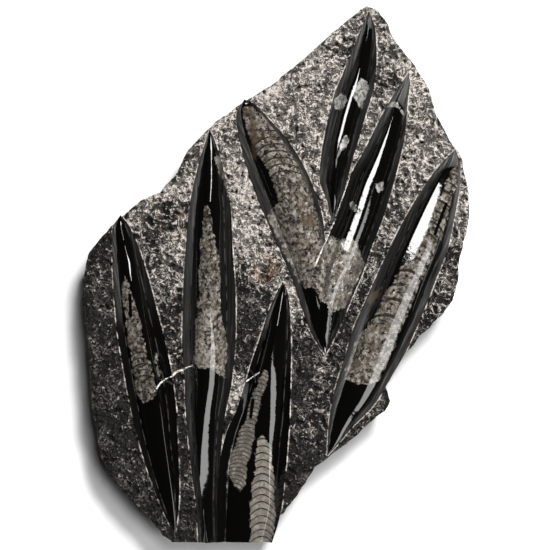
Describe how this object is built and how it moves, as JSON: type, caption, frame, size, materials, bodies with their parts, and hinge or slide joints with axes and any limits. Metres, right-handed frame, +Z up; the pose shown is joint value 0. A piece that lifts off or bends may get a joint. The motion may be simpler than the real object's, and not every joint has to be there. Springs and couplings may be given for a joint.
{
  "type": "orthoceras fossil",
  "caption": "Slab of dark limestone lying on its sawn back, with straight-shelled nautiloid fossils polished and standing in relief from a pecked face.",
  "frame": {"origin": "centre of the bounding box, on the sawn back that the slab lies on", "axes": "+Z up out of the fossils' face, +Y along the slab's long side from the sawn foot to the pointed top, +X to the right seen from above"},
  "size_m": [0.2162, 0.3, 0.0368],
  "materials": {
    "limestone": "Black to charcoal limestone: the fossils polished, the face between them pecked rough with pale chisel flecks, the sides broken and the back sawn. The shells' cores are gray-beige with dark chamber walls, and fine white calcite veins cross the stone."
  },
  "bodies": {
    "root": {"orthoceras_slab": "limestone"}
  },
  "joints": []
}
